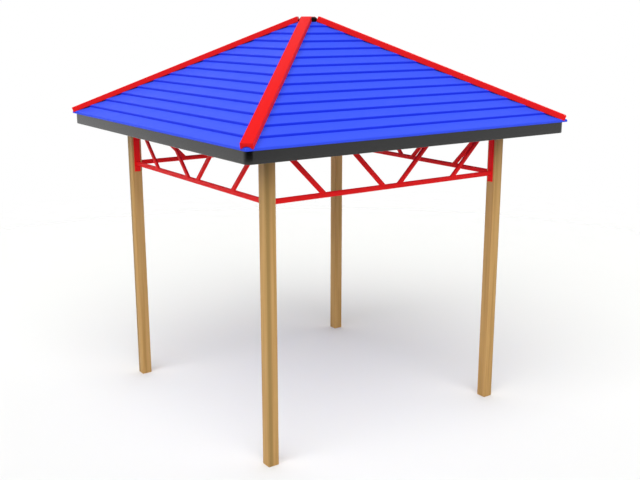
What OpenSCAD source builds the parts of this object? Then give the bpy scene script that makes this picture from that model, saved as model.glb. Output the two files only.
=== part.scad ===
// Square open garden gazebo: timber posts, welded trusses between them, a fascia all round
// and a pyramid roof of lapped courses with moulded caps on its hips and a round hub at its peak.
// The ground is z = 0, the plan is centred on the origin and the front faces -Y.

/* [Posts] */
// Width of each square post
post_w = 100; // [80:1:140]
// Rounding of a post's long edges
post_edge_r = 8; // [2:1:18]
// Distance between the centres of neighbouring posts
post_spacing = 2500; // [2100:10:3000]

/* [Trusses] */
// Width of the flat oval chord tubes, in the plane of the truss
chord_w = 46.5; // [38:0.5:54]
// Thickness of the chord tubes
chord_t = 26; // [25:0.5:30]
// Width of the flat oval brace tubes, in the plane of the truss
brace_w = 46.5; // [34:0.5:54]
// Thickness of the brace tubes
brace_t = 24; // [16:0.5:24.5]
// Distance between the chord centres
truss_depth = 448; // [380:1:520]
// Height of the top chord's centre over the fascia's lower edge
top_chord_rise = 64; // [40:1:80]
// Distance from the truss's middle to the foot of an inner brace
inner_foot = 75.5; // [60:0.5:100]
// Run of a brace along the truss, from its foot to its top
brace_run = 448; // [380:1:500]
// Distance from an end plate to the top of an outer brace
brace_end = 47; // [35:1:70]
// Width of the end plates
plate_w = 60; // [45:1:70]
// Thickness of the end plates
plate_t = 8; // [5:1:12]
// Length of an end plate past each chord's centre
plate_margin = 80; // [50:1:100]
// Gap between a brace and the chord it is welded to
weld_gap = 0.2; // [0.1:0.1:0.5]

/* [Fascia] */
// Height of the fascia's lower edge over the ground
eave_z = 2616; // [2300:1:2900]
// Distance from the post centres to the fascia's outer face
eave_overhang = 430; // [330:5:520]
// Height of the fascia
fascia_h = 101; // [85:1:130]
// Thickness of the fascia
fascia_t = 30; // [20:1:36]
// Outer radius of the fascia's corners
fascia_r = 50; // [42:1:80]

/* [Roof] */
// Slope of the roof faces in degrees
roof_pitch = 28.5; // [24:0.5:32]
// Length of one course, measured level
course_run = 118.3; // [95:0.1:140]
// Drop from the nose of a course to the course below it
course_step = 19; // [14:1:24]
// Rounding of a course's nose
nose_r = 12; // [4:0.5:13]
// Distance that the eave reaches past the fascia
eave_lip = 17; // [10:1:40]
// Height of the eave's edge over the fascia
eave_edge = 20.5; // [14:0.5:26]
// Upright thickness of the roof from its noses to its underside
roof_t = 44; // [36:1:48]

/* [Rafters] */
// Width of the hip rafters
rafter_w = 60; // [45:1:80]
// Depth of the hip rafters, square to their slope
rafter_h = 85; // [65:1:90]
// Gap between the hub and what meets its side
seat_gap = 0.2; // [0.1:0.1:0.5]

/* [Hip caps] */
// Width of the hip caps
cap_w = 96; // [80:1:120]
// Height of a cap's top over the hip line, square to its slope
cap_rise = 31.5; // [28.5:0.5:36]
// Thickness of a cap's crown over its groove
cap_crown = 27; // [20:0.5:27.5]
// Thickness of a cap's legs at their lower edge
cap_leg = 13; // [8:0.5:18]
// Plan distance from the eave's corner to a cap's lower end
cap_eave_gap = 14; // [5:1:50]
// Plan distance from the hub to a cap's upper end
cap_hub_gap = 19; // [18:1:40]

/* [Hub] */
// Radius of the hub
hub_r = 84; // [70:1:100]
// Height of the hub over the roof at its side
hub_rise = 34; // [28:1:44]
// Rounding of the hub's shoulder
hub_shoulder = 25; // [10:1:28]
// Length of the hub below the rafters
hub_tail = 10; // [5:1:30]

/* [Hidden] */
$fn = 64;
CORNERS = ["front_left", "front_right", "back_right", "back_left"];
SIDES = ["front", "right", "back", "left"];

TIMBER = "burlywood";
TRUSS_RED = "red";
BLACK = "#202020";
ROOF_BLUE = "royalblue";

// Plan of the frame
post_at = post_spacing / 2;
span_half = post_at - post_w / 2 - plate_t;
fascia_out = post_at + eave_overhang;
fascia_in = fascia_out - fascia_t;
eave_at = fascia_out + eave_lip;

// Levels of the truss
top_chord_z = eave_z + top_chord_rise;
bottom_chord_z = top_chord_z - truss_depth;
plate_z = bottom_chord_z - plate_margin;
plate_h = truss_depth + 2 * plate_margin;

// Braces lean outward going up, the outer one ending beside the end plate
outer_foot = span_half - brace_end - brace_run;
brace_feet = [-outer_foot, -inner_foot, inner_foot, outer_foot];
brace_angle = atan(brace_run / truss_depth);
brace_len = norm([brace_run, truss_depth]);

// The noses of the courses lie on one plane, peak_z being its height on the roof's axis
fascia_top = eave_z + fascia_h;
rise = tan(roof_pitch);
peak_z = fascia_top + eave_edge + rise * eave_at;
course_count = floor((eave_at - hub_r) / course_run) + 1;
soffit_in = (peak_z - roof_t - fascia_top) / rise;

// Slope of one course and the part of its nose that the rounding takes
course_angle = atan((rise * course_run - course_step) / course_run);
nose_turn = 90 - course_angle;
nose_cut = nose_r * tan(nose_turn / 2);
nose_dip = nose_r * sin(roof_pitch) + nose_cut * cos(roof_pitch) - nose_r;
nose_parts = 4;

// The hips fall less steeply than the faces, and the faces fall away on both sides of them
hip_angle = atan(rise / sqrt(2));
hip_side_fall = sin(hip_angle);
cap_seat_z = peak_z - nose_dip / cos(roof_pitch);

// Ends of the caps along their slope
cap_upper = (hub_r + cap_hub_gap - cap_rise * sin(hip_angle)) / cos(hip_angle);
cap_lower = (eave_at * sqrt(2) - cap_eave_gap - cap_rise * sin(hip_angle)) / cos(hip_angle);

// Groove under a cap: an arc through the inner edges of the legs and the underside of the crown
groove_half = cap_w / 2 - cap_leg;
groove_top = cap_rise - cap_crown;
groove_rise = groove_top + hip_side_fall * groove_half;
groove_r = (pow(groove_half, 2) + pow(groove_rise, 2)) / (2 * groove_rise);

// Rafters lie against the underside of the roof, and carry it down to the posts
rafter_top = -roof_t * cos(hip_angle);
rafter_bottom = rafter_top - rafter_h;
rafter_upper = hub_r / 2;
rafter_lower = fascia_out * 2;

hub_top = peak_z - rise * hub_r + hub_rise;
hub_bottom = peak_z + rafter_bottom / cos(hip_angle) - hub_r * tan(hip_angle) - hub_tail;

function nose_at(k) = eave_at - k * course_run;
function nose_z(k) = peak_z - rise * nose_at(k);

// Outline of one course from the foot of its nose to the start of its level top
function nose_points(k) = concat(
    k == 0 ? [] : [[nose_at(k), nose_z(k) - course_step]],
    [for (i = [0 : nose_parts])
        let (a = nose_turn * i / nose_parts)
        [nose_at(k) - nose_r + nose_r * cos(a), nose_z(k) - nose_cut + nose_r * sin(a)]]
);

// Section of a roof face: level distance from the axis, and height
roof_section = concat(
    [[0, peak_z - roof_t], [soffit_in, fascia_top], [eave_at, fascia_top]],
    [for (k = [0 : course_count - 1]) each nose_points(k)],
    [[0, nose_z(course_count - 1) + tan(course_angle) * nose_at(course_count - 1)]]
);

// Square of half width half with its corners rounded to radius r
module rounded_square(half, r) {
    square([2 * half, 2 * (half - r)], center = true);
    square([2 * (half - r), 2 * half], center = true);
    for (x = [-1, 1], y = [-1, 1])
        translate([x * (half - r), y * (half - r)]) circle(r);
}

// Flat oval of width w along x and thickness t, with round ends
module flat_oval(w, t) {
    square([w - t, t], center = true);
    for (x = [-1, 1]) translate([x * (w - t) / 2, 0]) circle(d = t);
}

// Lays a section along the front left hip: its x level across the hip, its y square to the slope
module along_hip(apex_z, from, to) {
    translate([0, 0, apex_z])
        rotate([0, 0, 225]) rotate([0, hip_angle, 0]) rotate([90, 0, 90])
            translate([0, 0, from]) linear_extrude(to - from) children();
}

// Space taken by the hub, for what meets its side
module hub_space() {
    translate([0, 0, hub_bottom - 1]) cylinder(r = hub_r + seat_gap, h = hub_top - hub_bottom + 2);
}

// Chord tube of the front truss at height z, made larger by gap all round
module front_chord(z, gap = 0) {
    translate([-span_half, -post_at, z])
        rotate([0, 90, 0]) linear_extrude(2 * span_half) flat_oval(chord_w + 2 * gap, chord_t + 2 * gap);
}

// Timber post whose head is cut to the slope of the rafter it carries
module post() {
    color(TIMBER) difference() {
        translate([-post_at, -post_at]) linear_extrude(peak_z) rounded_square(post_w / 2, post_edge_r);
        along_hip(peak_z, 0, rafter_lower)
            translate([-post_w, rafter_bottom]) square([2 * post_w, peak_z]);
    }
}

module bottom_chord() {
    color(TRUSS_RED) front_chord(bottom_chord_z);
}

module top_chord() {
    color(TRUSS_RED) front_chord(top_chord_z);
}

// Four braces, coped to both chords
module braces() {
    color(TRUSS_RED) difference() {
        for (foot = brace_feet)
            translate([foot, -post_at, bottom_chord_z])
                rotate([0, sign(foot) * brace_angle, 0]) linear_extrude(brace_len) flat_oval(brace_w, brace_t);
        front_chord(bottom_chord_z, weld_gap);
        front_chord(top_chord_z, weld_gap);
    }
}

// Plate that closes one end of a truss and lies flat on the post: end is -1 on the left, 1 on the right
module truss_plate(end) {
    color(TRUSS_RED)
        translate([end * (span_half + plate_t / 2) - plate_t / 2, -post_at - plate_w / 2, plate_z])
            cube([plate_t, plate_w, plate_h]);
}

module fascia_side() {
    color(BLACK)
        translate([-(fascia_out - fascia_r), -fascia_out, eave_z])
            cube([2 * (fascia_out - fascia_r), fascia_t, fascia_h]);
}

// Quarter round between two fascia sides
module fascia_corner() {
    color(BLACK)
        translate([-(fascia_out - fascia_r), -(fascia_out - fascia_r), eave_z])
            intersection() {
                difference() {
                    cylinder(r = fascia_r, h = fascia_h);
                    translate([0, 0, -1]) cylinder(r = fascia_r - fascia_t, h = fascia_h + 2);
                }
                translate([-fascia_r, -fascia_r, 0]) cube([fascia_r, fascia_r, fascia_h]);
            }
}

// Hip rafter with a backed top edge, from the hub down into the fascia's corner
module hip_rafter() {
    side = rafter_w / 2;
    color(TIMBER) difference() {
        intersection() {
            along_hip(peak_z, rafter_upper, rafter_lower)
                polygon([
                    [0, rafter_top],
                    [-side, rafter_top - hip_side_fall * side],
                    [-side, rafter_bottom],
                    [side, rafter_bottom],
                    [side, rafter_top - hip_side_fall * side]
                ]);
            linear_extrude(2 * peak_z) rounded_square(fascia_in, fascia_r - fascia_t);
        }
        hub_space();
    }
}

// Roof face over the front: the stepped section run along the eave and mitred at both hips
module roof_face() {
    color(ROOF_BLUE) difference() {
        intersection() {
            rotate([90, 0, -90]) linear_extrude(2 * eave_at + 2, center = true) polygon(roof_section);
            linear_extrude(2 * peak_z)
                polygon([[0, 0], [-eave_at - 1, -eave_at - 1], [eave_at + 1, -eave_at - 1]]);
        }
        hub_space();
    }
}

// Moulded cap that straddles a hip, with legs bevelled to the roof faces and an arched groove
module hip_cap() {
    side = cap_w / 2;
    color(TRUSS_RED) along_hip(cap_seat_z, cap_upper, cap_lower)
        difference() {
            polygon([
                [-side, cap_rise],
                [-side, -hip_side_fall * side],
                [0, 0],
                [side, -hip_side_fall * side],
                [side, cap_rise]
            ]);
            translate([0, groove_top - groove_r]) circle(groove_r);
        }
}

// Round hub that the rafters meet, with a rounded shoulder
module peak_hub() {
    height = hub_top - hub_bottom;
    color(BLACK) translate([0, 0, hub_bottom]) rotate_extrude() {
        square([hub_r, height - hub_shoulder]);
        square([hub_r - hub_shoulder, height]);
        intersection() {
            translate([hub_r - hub_shoulder, height - hub_shoulder]) circle(hub_shoulder);
            square([hub_r, height]);
        }
    }
}

for (i = [0 : 3]) rotate([0, 0, 90 * i]) {
    post();
    bottom_chord();
    top_chord();
    braces();
    truss_plate(-1);
    truss_plate(1);
    fascia_side();
    fascia_corner();
    hip_rafter();
    roof_face();
    hip_cap();
}
peak_hub();
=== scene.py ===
"""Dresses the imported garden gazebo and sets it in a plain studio.

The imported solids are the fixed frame. Each class models one sub-assembly at the front side or at the
front left corner, turns copies of it to the other sides or corners, and gives every piece its finish.
Lengths are metres, the plan is centred on the origin, the ground is z = 0 and the front faces -Y.
"""

import logging
import math
from collections.abc import Callable, Iterator, Sequence
from contextlib import contextmanager
from dataclasses import dataclass
from enum import Enum
from typing import ClassVar

import bmesh
import bpy
from mathutils import Matrix, Vector

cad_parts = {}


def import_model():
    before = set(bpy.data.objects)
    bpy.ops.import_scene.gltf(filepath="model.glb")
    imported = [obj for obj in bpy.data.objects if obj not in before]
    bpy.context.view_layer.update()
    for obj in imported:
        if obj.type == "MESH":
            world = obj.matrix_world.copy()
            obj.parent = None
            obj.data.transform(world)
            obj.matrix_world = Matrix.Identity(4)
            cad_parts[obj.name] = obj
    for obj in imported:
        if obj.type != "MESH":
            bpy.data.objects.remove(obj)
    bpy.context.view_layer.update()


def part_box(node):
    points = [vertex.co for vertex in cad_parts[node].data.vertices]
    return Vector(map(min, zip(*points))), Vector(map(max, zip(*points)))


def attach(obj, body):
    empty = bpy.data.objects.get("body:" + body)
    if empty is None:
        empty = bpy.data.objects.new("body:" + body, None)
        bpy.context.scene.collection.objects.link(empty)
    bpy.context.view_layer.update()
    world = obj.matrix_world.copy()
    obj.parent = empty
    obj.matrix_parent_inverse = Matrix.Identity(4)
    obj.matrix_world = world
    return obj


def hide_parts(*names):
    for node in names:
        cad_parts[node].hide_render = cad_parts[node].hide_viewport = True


LOG = logging.getLogger("gazebo")
BODY = "root"
MERGE_DISTANCE = 0.00001
SEED_SIZE = 0.001
SMOOTH_ANGLE = math.radians(35)
HIP_AZIMUTH = math.radians(225)
QUARTER = math.pi / 2
GRAIN = "grain"
# Point attribute for painted light and shade on the roof boards: lighter treads, darker noses.
PAINTED_LIGHT = "bleach"
VECTOR_MATH = "ShaderNodeVectorMath"
OUT = Vector((0, -1, 0)).freeze()
UP = Vector((0, 0, 1)).freeze()

Piece = bpy.types.Object
EdgeTest = Callable[[Vector, Vector], bool]
Range = tuple[float, float]
Colour = tuple[int, int, int]
Shade = tuple[float, float, float, float]
Socket = bpy.types.NodeSocket
Term = Socket | float | Sequence[float]


class Side(Enum):
    """Sides of the gazebo, as quarter turns from the front."""

    FRONT = 0
    RIGHT = 1
    BACK = 2
    LEFT = 3


class Corner(Enum):
    """Corners of the gazebo, as quarter turns from the front left one."""

    FRONT_LEFT = 0
    FRONT_RIGHT = 1
    BACK_RIGHT = 2
    BACK_LEFT = 3


Place = Side | Corner


class Slot(Enum):
    """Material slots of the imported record."""

    POST = "post_timber"
    RAFTER = "rafter_timber"
    TRUSS = "truss_red"
    FASCIA = "fascia_black"
    HUB = "hub_black"
    ROOF = "roof_blue"
    CAP = "cap_red"


def label(place: Place) -> str:
    """The plain name of a side or corner."""
    return place.name.lower()


# Modelling steps


def take(piece: Piece) -> None:
    """Makes one piece the only selected object, and the active one.

    Args:
        piece: The piece to take.
    """
    bpy.ops.object.select_all(action="DESELECT")
    piece.select_set(True)
    bpy.context.view_layer.objects.active = piece


@contextmanager
def editing(piece: Piece) -> Iterator[None]:
    """Opens a piece in edit mode with all of it selected, and closes it at the end.

    Args:
        piece: The mesh object to edit.
    """
    take(piece)
    bpy.ops.object.mode_set(mode="EDIT")
    bpy.ops.mesh.select_mode(type="VERT")
    bpy.ops.mesh.select_all(action="SELECT")
    try:
        yield
    finally:
        bpy.ops.object.mode_set(mode="OBJECT")


def bevel_edges(piece: Piece, width: float, steps: int, wanted: EdgeTest) -> None:
    """Rounds the edges of a piece that pass a test.

    Args:
        piece: The piece to work on.
        width: Width of the rounding on each face.
        steps: Number of strips in the rounding.
        wanted: Takes the places of an edge's ends and says whether the edge is rounded.
    """
    with editing(piece):
        bpy.ops.mesh.select_mode(type="EDGE")
        bpy.ops.mesh.select_all(action="DESELECT")
        shape = bmesh.from_edit_mesh(piece.data)
        for edge in shape.edges:
            if wanted(edge.verts[0].co, edge.verts[1].co):
                edge.select_set(True)
        shape.select_flush_mode()
        bmesh.update_edit_mesh(piece.data)
        bpy.ops.mesh.bevel(offset=width, segments=steps, affect="EDGES")


def place_at(piece: Piece, matrix: Matrix) -> None:
    """Moves a piece and puts its new place into its mesh.

    Args:
        piece: The piece to move.
        matrix: How it is moved.
    """
    piece.matrix_basis = matrix @ piece.matrix_basis
    take(piece)
    bpy.ops.object.transform_apply(location=True, rotation=True, scale=True)


def copy_of(piece: Piece, name: str, matrix: Matrix) -> Piece:
    """Copies a piece with a mesh of its own.

    Args:
        piece: The piece to copy.
        name: Name of the copy.
        matrix: How the copy is moved from the first piece's place.

    Returns:
        The copy, with its place in its mesh.
    """
    take(piece)
    bpy.ops.object.duplicate()
    copy = bpy.context.object
    copy.name = name
    copy.data.name = name
    place_at(copy, matrix)
    return copy


def join(pieces: Sequence[Piece]) -> Piece:
    """Joins pieces into one.

    Args:
        pieces: The pieces to join.

    Returns:
        The first of them, which now holds them all.
    """
    take(pieces[0])
    for other in pieces[1:]:
        other.select_set(True)
    bpy.ops.object.join()
    return pieces[0]


def block(name: str, low: Vector, high: Vector) -> Piece:
    """Models a plain block to shape a piece from.

    Args:
        name: Name of the new piece.
        low: Lowest corner of the block.
        high: Highest corner of the block.

    Returns:
        The new piece, with its place in its mesh.
    """
    bpy.ops.object.select_all(action="DESELECT")
    bpy.ops.mesh.primitive_cube_add(size=1, location=(low + high) / 2)
    piece = bpy.context.object
    piece.name = name
    piece.data.name = name
    piece.scale = high - low
    place_at(piece, Matrix.Identity(4))
    return piece


def trace(name: str, points: Sequence[Vector], closed: bool = True) -> Piece:
    """Traces a line point by point, and fills it where it is closed.

    Args:
        name: Name of the new piece.
        points: The corners of the line, in order.
        closed: Whether the last point joins the first and the outline is filled.

    Returns:
        The new piece, with its place in its mesh.
    """
    bpy.ops.object.select_all(action="DESELECT")
    bpy.ops.mesh.primitive_plane_add(size=SEED_SIZE, location=points[0])
    piece = bpy.context.object
    piece.name = name
    piece.data.name = name
    with editing(piece):
        bpy.ops.mesh.merge(type="CENTER")
        for here, there in zip(points, points[1:]):
            bpy.ops.mesh.extrude_region_move(TRANSFORM_OT_translate={"value": there - here})
        if closed:
            bpy.ops.mesh.select_all(action="SELECT")
            bpy.ops.mesh.edge_face_add()
    place_at(piece, Matrix.Identity(4))
    return piece


def extrude(piece: Piece, along: Vector) -> None:
    """Draws a filled outline out into a closed bar.

    Args:
        piece: The outline.
        along: Direction and length of the bar.
    """
    with editing(piece):
        bpy.ops.mesh.extrude_region_move(TRANSFORM_OT_translate={"value": along})
        bpy.ops.mesh.select_all(action="SELECT")
        bpy.ops.mesh.normals_make_consistent(inside=False)


def turn_out(piece: Piece, centre: Vector, angle: float, steps: int) -> None:
    """Turns a line or a filled outline about an upright axis into a round shape.

    Args:
        piece: The line or outline.
        centre: A point on the axis.
        angle: How far it is turned.
        steps: Number of straight stretches in the turn.
    """
    with editing(piece):
        bpy.ops.mesh.spin(steps=steps, angle=angle, center=centre, axis=UP)


def cut_away(piece: Piece, point: Vector, normal: Vector) -> None:
    """Cuts a piece on a plane, closes the cut and removes what lies on the normal's side.

    Args:
        piece: The piece to cut.
        point: A point on the plane.
        normal: Direction square to the plane.
    """
    with editing(piece):
        bpy.ops.mesh.bisect(plane_co=point, plane_no=normal, use_fill=True, clear_outer=True)


def arc(centre: Vector, start: Vector, end: Vector, turn: float, steps: int) -> list[Vector]:
    """Points along an arc.

    Args:
        centre: Centre of the arc.
        start: From the centre to the first point.
        end: From the centre in the direction a quarter turn further on, as long as start.
        turn: Angle that the arc covers.
        steps: Number of straight stretches.

    Returns:
        The points, with both ends.
    """
    angles = [turn * i / steps for i in range(steps + 1)]
    return [centre + start * math.cos(angle) + end * math.sin(angle) for angle in angles]


def quarter_turns(count: int) -> Matrix:
    """A turn about the gazebo's upright axis by a number of quarters."""
    return Matrix.Rotation(QUARTER * count, 4, "Z")


def keep_grain(piece: Piece, axes: Matrix, shift: Vector) -> None:
    """Stores the place of each point in the timber's own axes, so that the grain follows the timber.

    Args:
        piece: The timber, in its place.
        axes: The timber's own axes in that place, with its length along Z.
        shift: Moves the pattern, so that no two timbers look alike.
    """
    to_timber = axes.inverted()
    own = piece.data.attributes.new(GRAIN, "FLOAT_VECTOR", "POINT")
    for point, value in zip(piece.data.vertices, own.data):
        value.vector = to_timber @ point.co + shift


# Finishes


def linear(colour: Colour) -> Shade:
    """Turns a colour in screen values from 0 to 255 into the shader's values.

    Args:
        colour: Red, green and blue on the screen.

    Returns:
        The shader's values, with full cover.
    """
    shares = [value / 255 for value in colour]
    low, slope, lift, power = 0.04045, 12.92, 0.055, 2.4
    values = [s / slope if s <= low else ((s + lift) / (1 + lift)) ** power for s in shares]
    return (values[0], values[1], values[2], 1.0)


@dataclass(frozen=True)
class Noise:
    """A cloudy pattern: how fine it is, its layers of detail and how much each layer counts."""

    scale: float
    detail: float
    roughness: float


class NodeBench:
    """Lays out the nodes of a material or of the world."""

    def __init__(self, owner: bpy.types.Material | bpy.types.World) -> None:
        """Opens the nodes of a new material or world, which come with a plain shader.

        Args:
            owner: The material or world.
        """
        owner.use_nodes = True
        self.tree = owner.node_tree
        self.surface = self.tree.get_output_node("ALL").inputs["Surface"]
        self.shader = self.surface.links[0].from_node

    def add(self, kind: str, **values: object) -> bpy.types.Node:
        """Adds a node and sets its values.

        Args:
            kind: Blender's name of the node's type.
            values: Sockets by name with spaces as underscores, or the node's own settings.

        Returns:
            The new node.
        """
        node = self.tree.nodes.new(kind)
        sockets = {socket.name.replace(" ", "_"): socket for socket in reversed(node.inputs[:])}
        for name, value in values.items():
            if name in sockets:
                sockets[name].default_value = value
            else:
                setattr(node, name, value)
        return node

    def link(self, source: Socket, target: Socket) -> None:
        """Joins two sockets."""
        self.tree.links.new(source, target)

    def feed(self, kind: str, *terms: Term, result: int | str = 0, **values: object) -> Socket:
        """Adds a node and feeds its sockets in order.

        Args:
            kind: Blender's name of the node's type.
            terms: Results of other nodes, or plain values, for the node's first sockets.
            result: The result that is wanted, by its number or name.
            values: Other sockets and settings, as for add.

        Returns:
            The result.
        """
        node = self.add(kind, **values)
        for socket, term in zip(node.inputs, terms):
            if isinstance(term, Socket):
                self.link(term, socket)
            else:
                socket.default_value = term
        return node.outputs[result]

    def place(self) -> Socket:
        """The place of each point in the object's own axes."""
        return self.add("ShaderNodeTexCoord").outputs["Object"]

    def noise(self, place: Socket, pattern: Noise) -> Socket:
        """A cloudy pattern's factor at a place."""
        sizes = {"Scale": pattern.scale, "Detail": pattern.detail, "Roughness": pattern.roughness}
        return self.feed("ShaderNodeTexNoise", place, **sizes)

    def calc(self, operation: str, *terms: Term) -> Socket:
        """A number worked out of others."""
        return self.feed("ShaderNodeMath", *terms, operation=operation)

    def mix(self, factor: Term, first: Term, second: Term) -> Socket:
        """A mix of two colours, which is the second where the factor is 1."""
        return self.feed("ShaderNodeMixRGB", factor, first, second)

    def smooth(self, value: Term, start: float, end: float) -> Socket:
        """A factor that goes smoothly from 0 where the value is the start to 1 where it is the end."""
        return self.feed("ShaderNodeMapRange", value, start, end, interpolation_type="SMOOTHSTEP")

    def spread(self, factor: Term, low: float, high: float) -> Socket:
        """The middle half of a factor, mapped to a range of values."""
        return self.feed("ShaderNodeMapRange", factor, 1 / 4, 3 / 4, low, high)

    def ramp(self, factor: Socket, stops: Sequence[float], colours: Sequence[Colour]) -> Socket:
        """Turns a factor into a colour.

        Args:
            factor: The factor to read.
            stops: Positions from 0 to 1, in order.
            colours: The colours at those positions.

        Returns:
            The colour.
        """
        node = self.add("ShaderNodeValToRGB")
        elements = node.color_ramp.elements
        while len(elements) < len(stops):
            elements.new(1.0)
        for element, position, colour in zip(elements, stops, colours):
            element.position = position
            element.color = linear(colour)
        self.link(factor, node.inputs["Fac"])
        return node.outputs["Color"]

    def coat(self, colour: Socket, roughness: Socket, specular: float) -> None:
        """Gives the shader its colour and gloss.

        Args:
            colour: The colour.
            roughness: How dull it is.
            specular: How much it mirrors.
        """
        self.link(colour, self.shader.inputs["Base Color"])
        self.link(roughness, self.shader.inputs["Roughness"])
        self.shader.inputs["Specular IOR Level"].default_value = specular

    def bump(self, height: Socket, strength: float, depth: float) -> None:
        """Gives the shader a bump.

        Args:
            height: The bump's pattern.
            strength: How much of it shows.
            depth: Real depth of the bump.
        """
        node = self.add("ShaderNodeBump", Strength=strength, Distance=depth)
        self.link(height, node.inputs["Height"])
        self.link(node.outputs["Normal"], self.shader.inputs["Normal"])


@dataclass(frozen=True)
class Timber:
    """Planed softwood under a clear stain, with fibres, growth rings and one band of heartwood."""

    name: str
    dark: Colour = (183, 142, 84)
    middle: Colour = (201, 158, 98)
    light: Colour = (207, 167, 108)
    tone_stops: tuple[float, float, float] = (0.42, 0.66, 0.92)
    heart: Colour = (169, 136, 83)
    heart_at: tuple[float, float, float] = (-0.0305, -0.053, 0.0)
    heart_reach: Range = (0.034, 0.006)
    stretch: float = 0.03
    fibre: Noise = Noise(scale=260.0, detail=5.0, roughness=0.6)
    fibre_share: float = 0.22
    streak: Noise = Noise(scale=34.0, detail=2.0, roughness=0.45)
    ring_scale: float = 30.0
    ring_wander: float = 7.0
    wander_detail: float = 2.0
    wander_scale: float = 1.4
    ring_share: float = 0.16
    roughness: Range = (0.46, 0.62)
    specular: float = 0.1
    bump_strength: float = 0.35
    bump_depth: float = 0.0005

    def make(self) -> bpy.types.Material:
        """Lays out the stain, fibres and rings.

        Returns:
            The material.
        """
        material = bpy.data.materials.new(self.name)
        bench = NodeBench(material)
        own = bench.add("ShaderNodeAttribute", attribute_name=GRAIN).outputs["Vector"]
        place = bench.feed("ShaderNodeMapping", own, Scale=(1.0, 1.0, self.stretch))
        fibre = bench.noise(place, self.fibre)
        streak = bench.noise(place, self.streak)
        rings = bench.feed(
            "ShaderNodeTexWave", place, result="Fac", Scale=self.ring_scale,
            Distortion=self.ring_wander, Detail=self.wander_detail, Detail_Scale=self.wander_scale,
        )
        ringed = bench.calc("MULTIPLY_ADD", rings, self.ring_share, streak)
        tone = bench.calc("MULTIPLY_ADD", fibre, self.fibre_share, ringed)
        stain = bench.ramp(tone, self.tone_stops, (self.dark, self.middle, self.light))
        colour = bench.mix(self.heartwood(bench, own), stain, linear(self.heart))
        bench.coat(colour, bench.spread(fibre, *self.roughness), self.specular)
        bench.bump(tone, self.bump_strength, self.bump_depth)
        return material

    def heartwood(self, bench: NodeBench, place: Socket) -> Socket:
        """Marks the heart of the log, which shows on one face of each post.

        Args:
            bench: The material in the making.
            place: The place of each point in the timber's own axes.

        Returns:
            A factor of 1 in the heart.
        """
        across = bench.feed(VECTOR_MATH, place, (1, 1, 0), operation="MULTIPLY")
        away = bench.feed(VECTOR_MATH, across, self.heart_at, result="Value", operation="DISTANCE")
        return bench.smooth(away, *self.heart_reach)


@dataclass(frozen=True)
class Skin:
    """What painted and moulded skins share: soft patches of two tones, a gloss to match and a fine bump."""

    name: str
    low_tone: Colour
    high_tone: Colour
    roughness: Range
    specular: float
    tone_stops: Range
    patches: Noise
    grain: Noise
    grain_strength: float
    grain_depth: float
    # Tone painted on the boards' tops as painted light; the noses keep the darker tones as painted shade.
    painted_lit_tone: Colour | None = None

    def make(self) -> bpy.types.Material:
        """Lays out the tones, gloss and bump, and the lighter tone painted on the tops of the boards as
        painted light.

        Returns:
            The material.
        """
        material = bpy.data.materials.new(self.name)
        bench = NodeBench(material)
        place = bench.place()
        patches = bench.noise(place, self.patches)
        tone = bench.ramp(patches, self.tone_stops, (self.low_tone, self.high_tone))
        # Painted light: the lighter tone goes wherever the attribute marks a board's top as lit.
        if self.painted_lit_tone:
            top = bench.add("ShaderNodeAttribute", attribute_name=PAINTED_LIGHT).outputs["Fac"]
            tone = bench.mix(top, tone, linear(self.painted_lit_tone))
        bench.coat(tone, bench.spread(patches, *self.roughness), self.specular)
        bench.bump(bench.noise(place, self.grain), self.grain_strength, self.grain_depth)
        return material


@dataclass(frozen=True)
class PowderCoat(Skin):
    """Baked paint on steel, slightly worn, with the faint orange peel of a sprayed coat."""

    roughness: Range = (0.26, 0.36)
    specular: float = 0.5
    tone_stops: Range = (0.3, 0.62)
    patches: Noise = Noise(scale=3.5, detail=3.0, roughness=0.55)
    grain: Noise = Noise(scale=420.0, detail=1.0, roughness=0.4)
    grain_strength: float = 0.12
    grain_depth: float = 0.0003


@dataclass(frozen=True)
class MouldedPlastic(Skin):
    """Moulded plastic with a slight mottle and a fine grained surface."""

    roughness: Range = (0.4, 0.5)
    specular: float = 0.3
    tone_stops: Range = (0.3, 0.7)
    patches: Noise = Noise(scale=5.0, detail=4.0, roughness=0.6)
    grain: Noise = Noise(scale=700.0, detail=2.0, roughness=0.5)
    grain_strength: float = 0.15
    grain_depth: float = 0.00025


# Sub-assemblies


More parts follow.
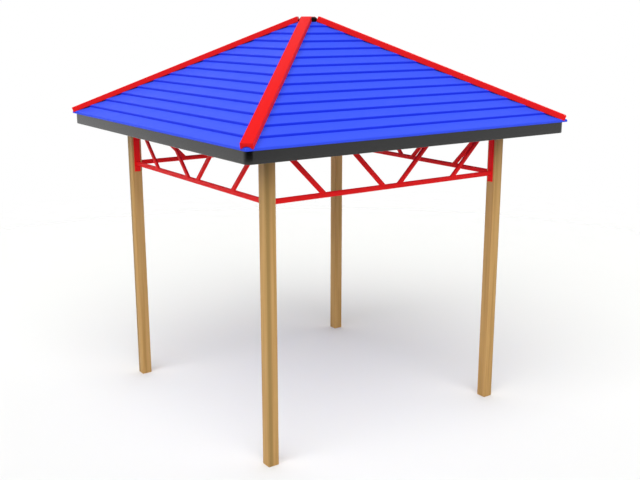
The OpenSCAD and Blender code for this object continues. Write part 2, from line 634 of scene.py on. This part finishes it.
@dataclass(frozen=True)
class RoofLines:
    """The planes that the roof, caps, rafters and post heads share."""

    eave_at: float
    fascia_top: float
    hub_radius: float
    pitch: float = math.radians(28.5)
    eave_edge: float = 0.0205
    depth: float = 0.044
    rafter_depth: float = 0.085

    @classmethod
    def from_frame(cls) -> "RoofLines":
        """Reads the eave, the fascia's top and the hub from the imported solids.

        Returns:
            The roof's lines.
        """
        roof_low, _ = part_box("front_roof")
        _, hub_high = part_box("peak_hub")
        return cls(eave_at=-roof_low.y, fascia_top=roof_low.z, hub_radius=hub_high.x)

    @property
    def rise(self) -> float:
        """Height gained by the plane of the noses over one metre of level distance."""
        return math.tan(self.pitch)

    @property
    def peak(self) -> float:
        """Height at which the plane of the noses meets the roof's axis."""
        return self.fascia_top + self.eave_edge + self.rise * self.eave_at

    @property
    def hip_angle(self) -> float:
        """Slope of the hips."""
        return math.atan(self.rise / math.sqrt(2))

    @property
    def side_fall(self) -> float:
        """Fall of the roof faces beside a hip, over one metre across it."""
        return math.sin(self.hip_angle)

    @property
    def rafter_top(self) -> float:
        """Height of the rafters' top edge over the hip line, square to its slope."""
        return -self.depth * math.cos(self.hip_angle)

    @property
    def rafter_bottom(self) -> float:
        """Height of the rafters' underside over the hip line, square to its slope."""
        return self.rafter_top - self.rafter_depth

    def hip_axes(self, apex: float) -> Matrix:
        """Axes of the front left hip: X down its slope, Y level across it, Z square to it.

        Args:
            apex: Height at which the axes meet the roof's axis.

        Returns:
            The axes as a matrix.
        """
        turn = Matrix.Rotation(HIP_AZIMUTH, 4, "Z")
        return Matrix.Translation(UP * apex) @ turn @ Matrix.Rotation(self.hip_angle, 4, "Y")


@dataclass
class SubAssembly:
    """What the sub-assemblies share: a finish, turning copies of a piece, and tying each to the frame."""

    slot: ClassVar[Slot]
    material: bpy.types.Material

    def set_around(self, first: Piece, places: type[Place], node: str) -> dict[Place, Piece]:
        """Turns copies of a piece to the other sides or corners, and dresses them all.

        The first piece is dressed last, because a copy takes over all that is tied to it.

        Args:
            first: The piece at the front, or at the front left.
            places: The sides or the corners.
            node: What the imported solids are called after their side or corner.

        Returns:
            The pieces by their sides or corners.
        """
        pieces: dict[Place, Piece] = {}
        for place in reversed(places):
            piece = first
            if place.value > 0:
                name = first.name.replace(label(places(0)), label(place))
                piece = copy_of(first, name, quarter_turns(place.value))
            self.dress(piece, f"{label(place)}_{node}")
            pieces[place] = piece
        return pieces

    def dress(self, piece: Piece, node: str) -> None:
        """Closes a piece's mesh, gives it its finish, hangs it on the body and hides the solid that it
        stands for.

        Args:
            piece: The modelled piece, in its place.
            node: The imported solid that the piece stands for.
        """
        with editing(piece):
            bpy.ops.mesh.remove_doubles(threshold=MERGE_DISTANCE)
            bpy.ops.mesh.normals_make_consistent(inside=False)
        take(piece)
        bpy.ops.object.shade_smooth_by_angle(angle=SMOOTH_ANGLE)
        piece.data.materials.clear()
        piece.data.materials.append(self.material)
        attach(piece, BODY)
        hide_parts(node)
        LOG.info("%s: %d faces, stands for %s", piece.name, len(piece.data.polygons), node)


@dataclass
class Posts(SubAssembly):
    """Four square timber posts with rounded long edges and heads cut to the rafters' slope."""

    slot: ClassVar[Slot] = Slot.POST
    lines: RoofLines
    edge_radius: float = 0.008
    edge_steps: int = 4
    foot_chamfer: float = 0.002
    foot_steps: int = 2
    grain_shift: float = 41.0

    def build(self) -> None:
        """Models the front left post and turns copies of it to the other corners."""
        low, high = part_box("front_left_post")
        width = high.x - low.x
        foot_top = low.z + self.foot_chamfer
        post = block("front_left_timber_post", low, high)
        bevel_edges(post, self.edge_radius, self.edge_steps, lambda a, b: abs(a.z - b.z) > width)
        bevel_edges(post, self.foot_chamfer, self.foot_steps, lambda a, b: max(a.z, b.z) < foot_top)
        axes = self.lines.hip_axes(self.lines.peak)
        cut_away(post, axes @ (UP * self.lines.rafter_bottom), axes.to_3x3() @ UP)
        foot = Matrix.Translation(((low.x + high.x) / 2, (low.y + high.y) / 2, low.z))
        for corner, piece in self.set_around(post, Corner, "post").items():
            keep_grain(piece, quarter_turns(corner.value) @ foot, UP * self.grain_shift * corner.value)


@dataclass
class HipRafters(SubAssembly):
    """Four timber rafters under the hips, with backed top edges, from the hub to the fascia's corners."""

    slot: ClassVar[Slot] = Slot.RAFTER
    lines: RoofLines
    width: float = 0.060
    arris: float = 0.003
    arris_steps: int = 2
    hub_tenon: float = 0.014
    grain_shift: float = 2.11

    def build(self) -> None:
        """Models the front left rafter and turns copies of it to the other corners."""
        lines = self.lines
        side = self.width / 2
        shoulder = lines.rafter_top - lines.side_fall * side
        upper = (lines.hub_radius - self.hub_tenon) / math.cos(lines.hip_angle)
        lower = lines.eave_at * math.sqrt(2) / math.cos(lines.hip_angle)
        section = [
            Vector((upper, 0, lines.rafter_top)),
            Vector((upper, -side, shoulder)),
            Vector((upper, -side, lines.rafter_bottom)),
            Vector((upper, side, lines.rafter_bottom)),
            Vector((upper, side, shoulder)),
        ]
        rafter = trace("front_left_rafter_timber", section)
        extrude(rafter, Vector((lower - upper, 0, 0)))
        bevel_edges(
            rafter, self.arris, self.arris_steps,
            lambda a, b: abs(a.x - b.x) > self.width and abs(a.y) > side / 2,
        )
        axes = lines.hip_axes(lines.peak)
        place_at(rafter, axes)
        fascia_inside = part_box("front_fascia")[1].y
        cut_away(rafter, Vector((fascia_inside, 0, 0)), Vector((-1, 0, 0)))
        cut_away(rafter, Vector((0, fascia_inside, 0)), OUT)
        timber_axes = axes @ Matrix.Rotation(QUARTER, 4, "Y")
        for corner, piece in self.set_around(rafter, Corner, "hip_rafter").items():
            shift = Vector((0, self.grain_shift * (corner.value + 1), 0))
            keep_grain(piece, quarter_turns(corner.value) @ timber_axes, shift)


@dataclass
class Trusses(SubAssembly):
    """Four welded trusses of flat oval tube: two chords, four braces and two plain end plates each."""

    slot: ClassVar[Slot] = Slot.TRUSS
    brace_width: float = 0.0465
    brace_thick: float = 0.024
    inner_foot: float = 0.0755
    brace_run: float = 0.448
    brace_end: float = 0.047
    end_steps: int = 12
    weld_leg: float = 0.003
    bead_radius: float = 0.0018
    bead_steps: int = 2
    plate_edge: float = 0.001
    plate_edge_steps: int = 2
    plate_corner: float = 0.002
    plate_corner_steps: int = 3

    def build(self) -> None:
        """Models the front truss and turns copies of it to the other sides."""
        middle = self.middle()
        half_turn = Matrix.Translation(middle) @ quarter_turns(2) @ Matrix.Translation(-middle)
        left = self.plate("front_truss_left_end_plate")
        pieces = {
            "bottom_chord": self.chord("front_bottom_chord", "front_truss_bottom_tube"),
            "top_chord": self.chord("front_top_chord", "front_truss_top_tube"),
            "braces": self.braces("front_truss_brace_tubes", half_turn),
            "truss_left_plate": left,
            "truss_right_plate": copy_of(left, "front_truss_right_end_plate", half_turn),
        }
        for node, front_piece in pieces.items():
            self.set_around(front_piece, Side, node)

    def middle(self) -> Vector:
        """The middle of the front truss's bottom chord."""
        low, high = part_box("front_bottom_chord")
        return (low + high) / 2

    def oval(self, width: float, thick: float, wide: Vector, centre: Vector) -> list[Vector]:
        """Outline of a flat oval tube whose thickness lies along Y.

        Args:
            width: Width of the oval.
            thick: Thickness of the oval.
            wide: Direction of its width.
            centre: Its middle.

        Returns:
            The outline's points.
        """
        radius = thick / 2
        points: list[Vector] = []
        for way in (1, -1):
            end = wide * (width / 2 - radius) * way
            points += arc(centre + end, OUT * radius * way, wide * radius * way, math.pi, self.end_steps)
        return points

    def chord(self, node: str, name: str) -> Piece:
        """Models a chord tube that swells into a weld at each end plate.

        Args:
            node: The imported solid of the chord.
            name: Name of the piece.

        Returns:
            The piece, in its place.
        """
        low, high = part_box(node)
        size = high - low
        at = Vector((low.x, (low.y + high.y) / 2, (low.z + high.z) / 2))
        swell = 2 * self.weld_leg
        tube = trace(name, self.oval(size.z + swell, size.y + swell, UP, at))
        taper = Vector((1, size.y / (size.y + swell), size.z / (size.z + swell)))
        flare = Vector((1, 1 / taper.y, 1 / taper.z))
        steps = ((self.weld_leg, taper), (size.x - swell, Vector((1, 1, 1))), (self.weld_leg, flare))
        with editing(tube):
            for step, growth in steps:
                at.x += step
                bpy.ops.mesh.extrude_region_move(TRANSFORM_OT_translate={"value": (step, 0, 0)})
                bpy.ops.transform.resize(value=growth, center_override=at)
        return tube

    def braces(self, name: str, half_turn: Matrix) -> Piece:
        """Models one brace with its welds, and copies it to the four places of the front truss.

        Args:
            name: Name of the piece that the braces make together.
            half_turn: Turns one half of the truss onto the other.

        Returns:
            The piece, in its place.
        """
        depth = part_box("front_top_chord")[0].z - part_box("front_bottom_chord")[0].z
        lean = math.atan(self.brace_run / depth)
        length = math.hypot(self.brace_run, depth)
        outline = self.oval(self.brace_width, self.brace_thick, Vector((1, 0, 0)), Vector((0, 0, 0)))
        tube = trace(name, outline)
        extrude(tube, UP * length)
        lower = self.weld_bead(outline, lean)
        over = Matrix.Translation(UP * length) @ Matrix.Rotation(math.pi, 4, "Y")
        upper = copy_of(lower, "upper_weld_bead", over)
        brace = join([tube, lower, upper])
        place_at(brace, Matrix.Translation(self.middle()) @ Matrix.Rotation(lean, 4, "Y"))
        outer_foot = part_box("front_bottom_chord")[1].x - self.brace_end - self.brace_run
        outer = copy_of(brace, "outer_brace", Matrix.Translation((outer_foot, 0, 0)))
        place_at(brace, Matrix.Translation((self.inner_foot, 0, 0)))
        right_pair = join([brace, outer])
        left_pair = copy_of(right_pair, "left_braces", half_turn)
        return join([right_pair, left_pair])

    def weld_bead(self, outline: Sequence[Vector], lean: float) -> Piece:
        """Models the weld bead where a brace meets its bottom chord, with the brace upright on the origin.

        Args:
            outline: The brace's outline.
            lean: Angle between the brace and the upright.

        Returns:
            The bead as a mesh.
        """
        low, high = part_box("front_bottom_chord")
        radius = (high.y - low.y) / 2
        shoulder = (high.z - low.z) / 2 - radius
        line = bpy.data.curves.new("lower_weld_bead", "CURVE")
        line.dimensions = "3D"
        line.bevel_depth = self.bead_radius
        line.bevel_resolution = self.bead_steps
        spline = line.splines.new("POLY")
        spline.points.add(len(outline) - 1)
        spline.use_cyclic_u = True
        for point, corner in zip(spline.points, outline):
            over_chord = shoulder + math.sqrt(radius**2 - corner.y**2)
            along = (over_chord + corner.x * math.sin(lean)) / math.cos(lean)
            point.co = (corner.x, corner.y, along, 1)
        bead = bpy.data.objects.new("lower_weld_bead", line)
        bpy.context.scene.collection.objects.link(bead)
        take(bead)
        bpy.ops.object.convert(target="MESH")
        return bpy.context.object

    def plate(self, name: str) -> Piece:
        """Models the front truss's left end plate, with softened edges.

        Args:
            name: Name of the piece.

        Returns:
            The piece, in its place.
        """
        low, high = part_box("front_truss_left_plate")
        thick = high.x - low.x
        middle = (low.x + high.x) / 2
        plate = block(name, low, high)
        bevel_edges(
            plate, self.plate_corner, self.plate_corner_steps,
            lambda a, b: abs(a.x - b.x) > thick / 2,
        )
        bevel_edges(
            plate, self.plate_edge, self.plate_edge_steps,
            lambda a, b: abs(a.x - b.x) < MERGE_DISTANCE and a.x > middle,
        )
        return plate


@dataclass
class Fascia(SubAssembly):
    """The fascia: four straight boards and four rounded corners of one section."""

    slot: ClassVar[Slot] = Slot.FASCIA
    lower_edge: float = 0.006
    upper_edge: float = 0.002
    edge_steps: int = 4
    corner_steps: int = 16

    def build(self) -> None:
        """Models the front board and the front left corner, and turns copies of them."""
        low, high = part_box("front_fascia")
        board = trace("front_fascia_board", self.section(low, high))
        bend = copy_of(board, "front_left_fascia_bend", Matrix.Identity(4))
        extrude(board, Vector((high.x - low.x, 0, 0)))
        turn_out(bend, Vector((low.x, low.x, 0)), QUARTER, self.corner_steps)
        self.set_around(board, Side, "fascia")
        self.set_around(bend, Corner, "fascia_corner")

    def section(self, low: Vector, high: Vector) -> list[Vector]:
        """Outline of the fascia at its left end, with softened edges.

        Args:
            low: Lowest corner of the straight board.
            high: Highest corner of the straight board.

        Returns:
            The outline's points.
        """
        corners = (
            (low.y, low.z, self.lower_edge, OUT, -UP),
            (high.y, low.z, self.lower_edge, -UP, -OUT),
            (high.y, high.z, self.upper_edge, -OUT, UP),
            (low.y, high.z, self.upper_edge, UP, OUT),
        )
        points: list[Vector] = []
        for y, z, radius, start, end in corners:
            centre = Vector((low.x, y, z)) - (start + end) * radius
            points += arc(centre, start * radius, end * radius, QUARTER, self.edge_steps)
        return points


@dataclass
class RoofFaces(SubAssembly):
    """Four roof faces of lapped boards with rounded noses, mitred at the hips."""

    slot: ClassVar[Slot] = Slot.ROOF
    lines: RoofLines
    course_run: float = 0.1183
    course_step: float = 0.019
    nose_radius: float = 0.012
    nose_steps: int = 6
    lap_gap: float = 0.0003
    hub_tenon: float = 0.010
    # Painted light and shade: heights on the nose over which it goes from shaded to lit, and the eave
    # nose's painted light.
    bleach_from: float = 5 / 6
    bleach_to: float = 7 / 6
    eave_bleach: float = 0.8

    def build(self) -> None:
        """Models the front face board by board and turns copies of it to the other sides."""
        face = join([self.board(k) for k in range(self.course_count)])
        face.name = "front_roof_boards"
        self.set_around(face, Side, "roof")

    @property
    def course_count(self) -> int:
        """Number of courses between the eave and the hub."""
        return math.floor((self.lines.eave_at - self.lines.hub_radius) / self.course_run) + 1

    @property
    def slope(self) -> float:
        """Height gained by a board over one metre of level distance."""
        return self.lines.rise - self.course_step / self.course_run

    @property
    def thick(self) -> float:
        """Upright thickness of a board."""
        return self.course_step - self.lap_gap

    def board(self, k: int) -> Piece:
        """Models one board of the front face and mitres it at both hips.

        Args:
            k: Number of courses between the board and the eave.

        Returns:
            The board, in its place.
        """
        outline = self.section(k)
        foot = outline[0]
        board = trace("roof_board", outline)
        extrude(board, Vector((-2 * foot.x, 0, 0)))
        cut_away(board, Vector((0, 0, 0)), Vector((-1, 1, 0)))
        cut_away(board, Vector((0, 0, 0)), Vector((1, 1, 0)))
        # Painted light on the tread and painted shade on the nose; the eave board's nose keeps most of the
        # painted light.
        self.bleach(board, foot.z, self.eave_bleach if k == 0 else 0)
        return board

    def section(self, k: int) -> list[Vector]:
        """Outline of a board at the left end of its nose, from the nose's foot on.

        Args:
            k: Number of courses between the board and the eave.

        Returns:
            The outline's points.
        """
        lines = self.lines
        nose_at = lines.eave_at - k * self.course_run
        nose_z = lines.peak - lines.rise * nose_at
        lap_width = (lines.depth - self.thick) / (lines.rise - self.slope)
        width = min(lap_width, nose_at - lines.hub_radius + self.hub_tenon)
        turn = QUARTER - math.atan(self.slope)
        cut = self.nose_radius * math.tan(turn / 2)
        left = Vector((-nose_at, 0, 0))
        nose = left + OUT * (nose_at - self.nose_radius) + UP * (nose_z - cut)
        tail = left + OUT * (nose_at - width) + UP * (nose_z + self.slope * width)
        foot = left + OUT * nose_at + UP * (nose_z - self.thick)
        heel: list[Vector] = []
        if k == 0:
            foot.z = lines.fascia_top
            soffit = (lines.peak - lines.depth - lines.fascia_top) / lines.rise
            heel = [left + OUT * soffit + UP * lines.fascia_top]
        rounding = arc(nose, OUT * self.nose_radius, UP * self.nose_radius, turn, self.nose_steps)
        return [foot, *rounding, tail, tail - UP * self.thick, *heel]

    def bleach(self, board: Piece, foot: float, least: float) -> None:
        """Stores how much painted light each point of a board gets: more towards its top, so the tread is
        painted lit and the nose is painted in shade.

        Args:
            board: The board, in its place.
            foot: Height of the foot of its nose.
            least: The least painted light that any point of it gets.
        """
        own = board.data.attributes.new(PAINTED_LIGHT, "FLOAT", "POINT")
        for point, value in zip(board.data.vertices, own.data):
            height = (point.co.z - foot) / self.thick
            share = (height - self.bleach_from) / (self.bleach_to - self.bleach_from)
            value.value = min(max(share, least), 1)


@dataclass
class HipCaps(SubAssembly):
    """Four moulded caps that straddle the hips, with feet cut to the roof and an arched groove."""

    slot: ClassVar[Slot] = Slot.CAP
    lines: RoofLines
    width: float = 0.096
    rise: float = 0.0315
    crown: float = 0.027
    leg: float = 0.013
    eave_gap: float = 0.014
    hub_gap: float = 0.019
    nose_dip: float = 0.0010
    top_edge: float = 0.003
    top_edge_steps: int = 3
    groove_steps: int = 16

    def build(self) -> None:
        """Models the front left cap and turns copies of it to the other corners."""
        lines = self.lines
        overhang = self.rise * math.sin(lines.hip_angle)
        upper = (lines.hub_radius + self.hub_gap - overhang) / math.cos(lines.hip_angle)
        lower = (lines.eave_at * math.sqrt(2) - self.eave_gap - overhang) / math.cos(lines.hip_angle)
        cap = trace("front_left_moulded_cap", self.section(upper))
        extrude(cap, Vector((lower - upper, 0, 0)))
        top = self.rise - MERGE_DISTANCE
        bevel_edges(cap, self.top_edge, self.top_edge_steps, lambda a, b: min(a.z, b.z) > top)
        place_at(cap, lines.hip_axes(lines.peak - self.nose_dip / math.cos(lines.pitch)))
        self.set_around(cap, Corner, "hip_cap")

    def section(self, at: float) -> list[Vector]:
        """Outline of a cap across the hip.

        Args:
            at: Distance of the outline down the hip's slope.

        Returns:
            The outline's points.
        """
        side = self.width / 2
        inside = side - self.leg
        fall = self.lines.side_fall
        top = self.rise - self.crown
        height = top + fall * inside
        radius = (inside**2 + height**2) / (2 * height)
        reach = math.asin(inside / radius)
        centre = Vector((at, 0, top - radius))
        start = Vector((0, math.sin(-reach), math.cos(reach))) * radius
        end = Vector((0, math.cos(reach), math.sin(reach))) * radius
        groove = arc(centre, start, end, 2 * reach, self.groove_steps)
        left = [Vector((at, -side, self.rise)), Vector((at, -side, -fall * side))]
        right = [Vector((at, side, -fall * side)), Vector((at, side, self.rise))]
        return [*left, *groove, *right]


@dataclass
class PeakHub(SubAssembly):
    """The round hub at the peak, with a rounded shoulder."""

    slot: ClassVar[Slot] = Slot.HUB
    shoulder: float = 0.025
    shoulder_steps: int = 8
    foot_edge: float = 0.003
    foot_steps: int = 2
    turn_steps: int = 72

    def build(self) -> None:
        """Models the hub by turning half of its section about the roof's axis."""
        low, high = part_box("peak_hub")
        side = Vector((1, 0, 0))
        shoulder_at = side * (high.x - self.shoulder) + UP * (high.z - self.shoulder)
        rounding = arc(shoulder_at, side * self.shoulder, UP * self.shoulder, QUARTER, self.shoulder_steps)
        foot_at = side * (high.x - self.foot_edge) + UP * (low.z + self.foot_edge)
        foot = arc(foot_at, -UP * self.foot_edge, side * self.foot_edge, QUARTER, self.foot_steps)
        profile = [UP * low.z, *foot, *rounding, UP * high.z]
        hub = trace("turned_peak_hub", profile, closed=False)
        turn_out(hub, Vector((0, 0, 0)), 2 * math.pi, self.turn_steps)
        self.dress(hub, "peak_hub")


# Studio


@dataclass(frozen=True)
class Sector:
    """A stretch of the horizon, in degrees: its middle, half its width and how far its ends are soft."""

    azimuth: float
    half: float
    soft: float


class DomeBench(NodeBench):
    """Lays out the nodes of the studio's dome, and knows the direction that each ray looks in."""

    least_reach: float = 0.00001

    def __init__(self, world: bpy.types.World) -> None:
        """Opens the nodes of a new world and takes the direction apart.

        Args:
            world: The world.
        """
        super().__init__(world)
        split = self.add("ShaderNodeSeparateXYZ")
        self.link(self.add("ShaderNodeTexCoord").outputs["Generated"], split.inputs["Vector"])
        self.x, self.y, height = (split.outputs[axis] for axis in "XYZ")
        self.height = self.calc("ABSOLUTE", height)
        squares = [self.calc("MULTIPLY", part, part) for part in (self.x, self.y)]
        level = self.calc("SQRT", self.calc("ADD", *squares))
        self.reach = self.calc("MAXIMUM", level, self.least_reach)

    def sector(self, stretch: Sector) -> Socket:
        """Marks a stretch of the horizon.

        Args:
            stretch: The stretch.

        Returns:
            A factor of 1 inside it that falls softly to 0 past its sides.
        """
        azimuth = math.radians(stretch.azimuth)
        along = self.calc("MULTIPLY", self.x, math.cos(azimuth))
        towards = self.calc("MULTIPLY_ADD", self.y, math.sin(azimuth), along)
        closeness = self.calc("DIVIDE", towards, self.reach)
        outside = math.cos(math.radians(stretch.half + stretch.soft))
        inside = math.cos(math.radians(stretch.half - stretch.soft))
        return self.smooth(closeness, outside, inside)


@dataclass
class Studio:
    """A white studio: pale floor, weak dome with a low back light, broad soft key light and dark screen."""

    floor_radius: float = 12.0
    floor_sides: int = 128
    rim_start: float = 4.5
    rim_end: float = 11.5
    floor_seen: Shade = (0.779, 0.784, 0.768, 1.0)
    floor_bounce: Shade = (0.46, 0.46, 0.46, 1.0)
    dome: float = 0.208
    dome_white: Shade = (1.0, 1.0, 1.0, 1.0)
    back: Sector = Sector(azimuth=46, half=70, soft=20)
    back_light: float = 4.42
    back_full: float = math.radians(15)
    back_end: float = math.radians(40)
    screen: Sector = Sector(azimuth=217, half=80, soft=4)
    screen_fade: Sector = Sector(azimuth=280, half=115, soft=45)
    screen_top: float = 0.45
    key_share: float = 0.728
    key_angle: float = math.radians(75)
    key_azimuth: float = math.radians(225)
    key_elevation: float = math.radians(45)

    def build(self) -> None:
        """Lays the floor, lights the dome and hangs the key light."""
        self.lay_floor()
        self.light_dome()
        self.hang_key()

    def lay_floor(self) -> None:
        """Lays a round pale floor that shows the shadow and can be seen through from below."""
        bpy.ops.object.select_all(action="DESELECT")
        bpy.ops.mesh.primitive_circle_add(
            vertices=self.floor_sides, radius=self.floor_radius, fill_type="NGON"
        )
        floor = bpy.context.object
        floor.name = "studio_floor"
        material = bpy.data.materials.new("studio floor")
        bench = NodeBench(material)
        ray = bench.add("ShaderNodeLightPath").outputs
        tone = bench.mix(ray["Is Diffuse Ray"], self.floor_seen, self.floor_bounce)
        paint = bench.feed("ShaderNodeBsdfDiffuse", tone)
        away = bench.feed(VECTOR_MATH, bench.place(), result="Value", operation="LENGTH")
        rim = bench.smooth(away, self.rim_start, self.rim_end)
        seen_rim = bench.calc("MULTIPLY", rim, ray["Is Camera Ray"])
        below = bench.add("ShaderNodeNewGeometry").outputs["Backfacing"]
        gone = bench.calc("MAXIMUM", below, seen_rim)
        clear = bench.feed("ShaderNodeBsdfTransparent")
        bench.link(bench.feed("ShaderNodeMixShader", gone, paint, clear), bench.surface)
        bench.tree.nodes.remove(bench.shader)
        floor.data.materials.append(material)

    def light_dome(self) -> None:
        """Makes the dome: white to look at, light from low at the back, a dark screen in reflections."""
        world = bpy.data.worlds.new("studio dome")
        bpy.context.scene.world = world
        bench = DomeBench(world)
        low = bench.smooth(bench.height, math.sin(self.back_end), math.sin(self.back_full))
        back = bench.calc("MULTIPLY", low, bench.sector(self.back))
        light = bench.calc("MULTIPLY_ADD", back, self.back_light, self.dome)
        across = bench.calc("MULTIPLY", bench.sector(self.screen), bench.sector(self.screen_fade))
        upright = bench.smooth(bench.height, self.screen_top, self.screen_top / 2)
        unscreened = bench.calc("SUBTRACT", 1.0, bench.calc("MULTIPLY", across, upright))
        ray = bench.add("ShaderNodeLightPath").outputs
        diffuse = bench.calc("MULTIPLY", ray["Is Diffuse Ray"], light)
        shiny = bench.calc("MULTIPLY", ray["Is Glossy Ray"], unscreened)
        seen = bench.calc("ADD", ray["Is Camera Ray"], ray["Is Transmission Ray"])
        level = bench.calc("ADD", bench.calc("ADD", diffuse, shiny), seen)
        bench.shader.inputs["Color"].default_value = self.dome_white
        bench.link(level, bench.shader.inputs["Strength"])

    def hang_key(self) -> None:
        """Hangs a broad soft key light up at the front left."""
        level, height = math.cos(self.key_elevation), math.sin(self.key_elevation)
        source = Vector((level * math.cos(self.key_azimuth), level * math.sin(self.key_azimuth), height))
        key = bpy.data.lights.new("key light", "SUN")
        key.angle = self.key_angle
        key.energy = self.key_share * math.pi / height
        lamp = bpy.data.objects.new("key light", key)
        lamp.rotation_euler = source.to_track_quat("Z", "Y").to_euler()
        lamp.visible_glossy = False
        bpy.context.scene.collection.objects.link(lamp)


@dataclass
class PhotoCamera:
    """The camera at the photograph's place, for an image of 640 by 480."""

    place: tuple[float, float, float] = (-4.864, -7.094, 3.5967)
    down: float = 0.23828
    turned_right: float = 0.61375
    focal_pixels: float = 895.49
    image_width: int = 640
    sensor: float = 36.0

    def build(self) -> None:
        """Sets the camera up and makes it the scene's own."""
        lens = bpy.data.cameras.new("photo camera")
        lens.sensor_width = self.sensor
        lens.lens = self.focal_pixels * self.sensor / self.image_width
        camera = bpy.data.objects.new("photo camera", lens)
        camera.location = self.place
        camera.rotation_euler = (QUARTER - self.down, 0, -self.turned_right)
        bpy.context.scene.collection.objects.link(camera)
        bpy.context.scene.camera = camera


def main() -> None:
    """Builds the sub-assemblies in order, then the studio and the camera."""
    logging.basicConfig(level=logging.INFO, format="%(name)s: %(message)s")
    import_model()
    bpy.context.scene.view_settings.view_transform = "Standard"
    lines = RoofLines.from_frame()
    timber = Timber("stained timber").make()
    truss_red = PowderCoat(
        "truss red coat", (252, 31, 33), (255, 34, 36), roughness=(0.42, 0.52), specular=0.06
    ).make()
    fascia_black = PowderCoat(
        "fascia black coat", (16, 16, 16), (18, 18, 18), roughness=(0.16, 0.22)
    ).make()
    # The roof's third tone is painted light on the boards' treads; the darker tones stay on the noses as
    # painted shade.
    roof_blue = MouldedPlastic(
        "roof blue plastic", (31, 53, 217), (34, 56, 219), painted_lit_tone=(60, 87, 238),
        roughness=(0.5, 0.6), specular=0.02,
    ).make()
    cap_red = MouldedPlastic("cap red plastic", (226, 30, 30), (228, 32, 32), specular=0.02).make()
    hub_black = MouldedPlastic("hub black plastic", (9, 7, 9), (11, 9, 11), specular=0.08).make()
    Posts(timber, lines).build()
    HipRafters(timber, lines).build()
    Trusses(truss_red).build()
    Fascia(fascia_black).build()
    RoofFaces(roof_blue, lines).build()
    HipCaps(cap_red, lines).build()
    PeakHub(hub_black).build()
    Studio().build()
    PhotoCamera().build()


if __name__ == "__main__":
    main()
